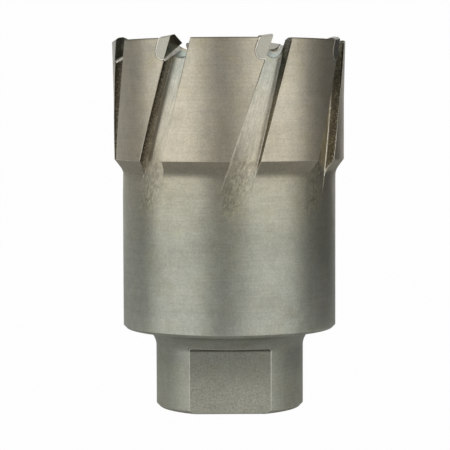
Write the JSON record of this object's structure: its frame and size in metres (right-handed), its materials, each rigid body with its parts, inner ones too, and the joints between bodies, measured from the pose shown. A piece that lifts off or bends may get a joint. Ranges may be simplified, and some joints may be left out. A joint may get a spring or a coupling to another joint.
{
  "type": "hole cutter",
  "caption": "Carbide-tipped annular hole cutter for drilling clean round holes in sheet and plate, with helical chip flutes, a threaded shank socket and spanner flats.",
  "frame": {"origin": "centre of the shank's end face, on the cutter's axis of turning", "axes": "+Z along the axis from the shank towards the teeth, -Y out of the front spanner flat"},
  "size_m": [0.0498, 0.0498, 0.0787],
  "materials": {
    "turned_steel": "turned, warm grey, with fine lathe marks",
    "tungsten_carbide": "ground, dark grey",
    "silver_braze": "bright, pale, as brazed"
  },
  "bodies": {
    "root": {"cutter_body": "turned_steel", "carbide_tip_1": "tungsten_carbide", "braze_seam_1": "silver_braze", "carbide_tip_2": "tungsten_carbide", "braze_seam_2": "silver_braze", "carbide_tip_3": "tungsten_carbide", "braze_seam_3": "silver_braze", "carbide_tip_4": "tungsten_carbide", "braze_seam_4": "silver_braze", "carbide_tip_5": "tungsten_carbide", "braze_seam_5": "silver_braze", "carbide_tip_6": "tungsten_carbide", "braze_seam_6": "silver_braze", "carbide_tip_7": "tungsten_carbide", "braze_seam_7": "silver_braze", "carbide_tip_8": "tungsten_carbide", "braze_seam_8": "silver_braze"}
  },
  "joints": []
}
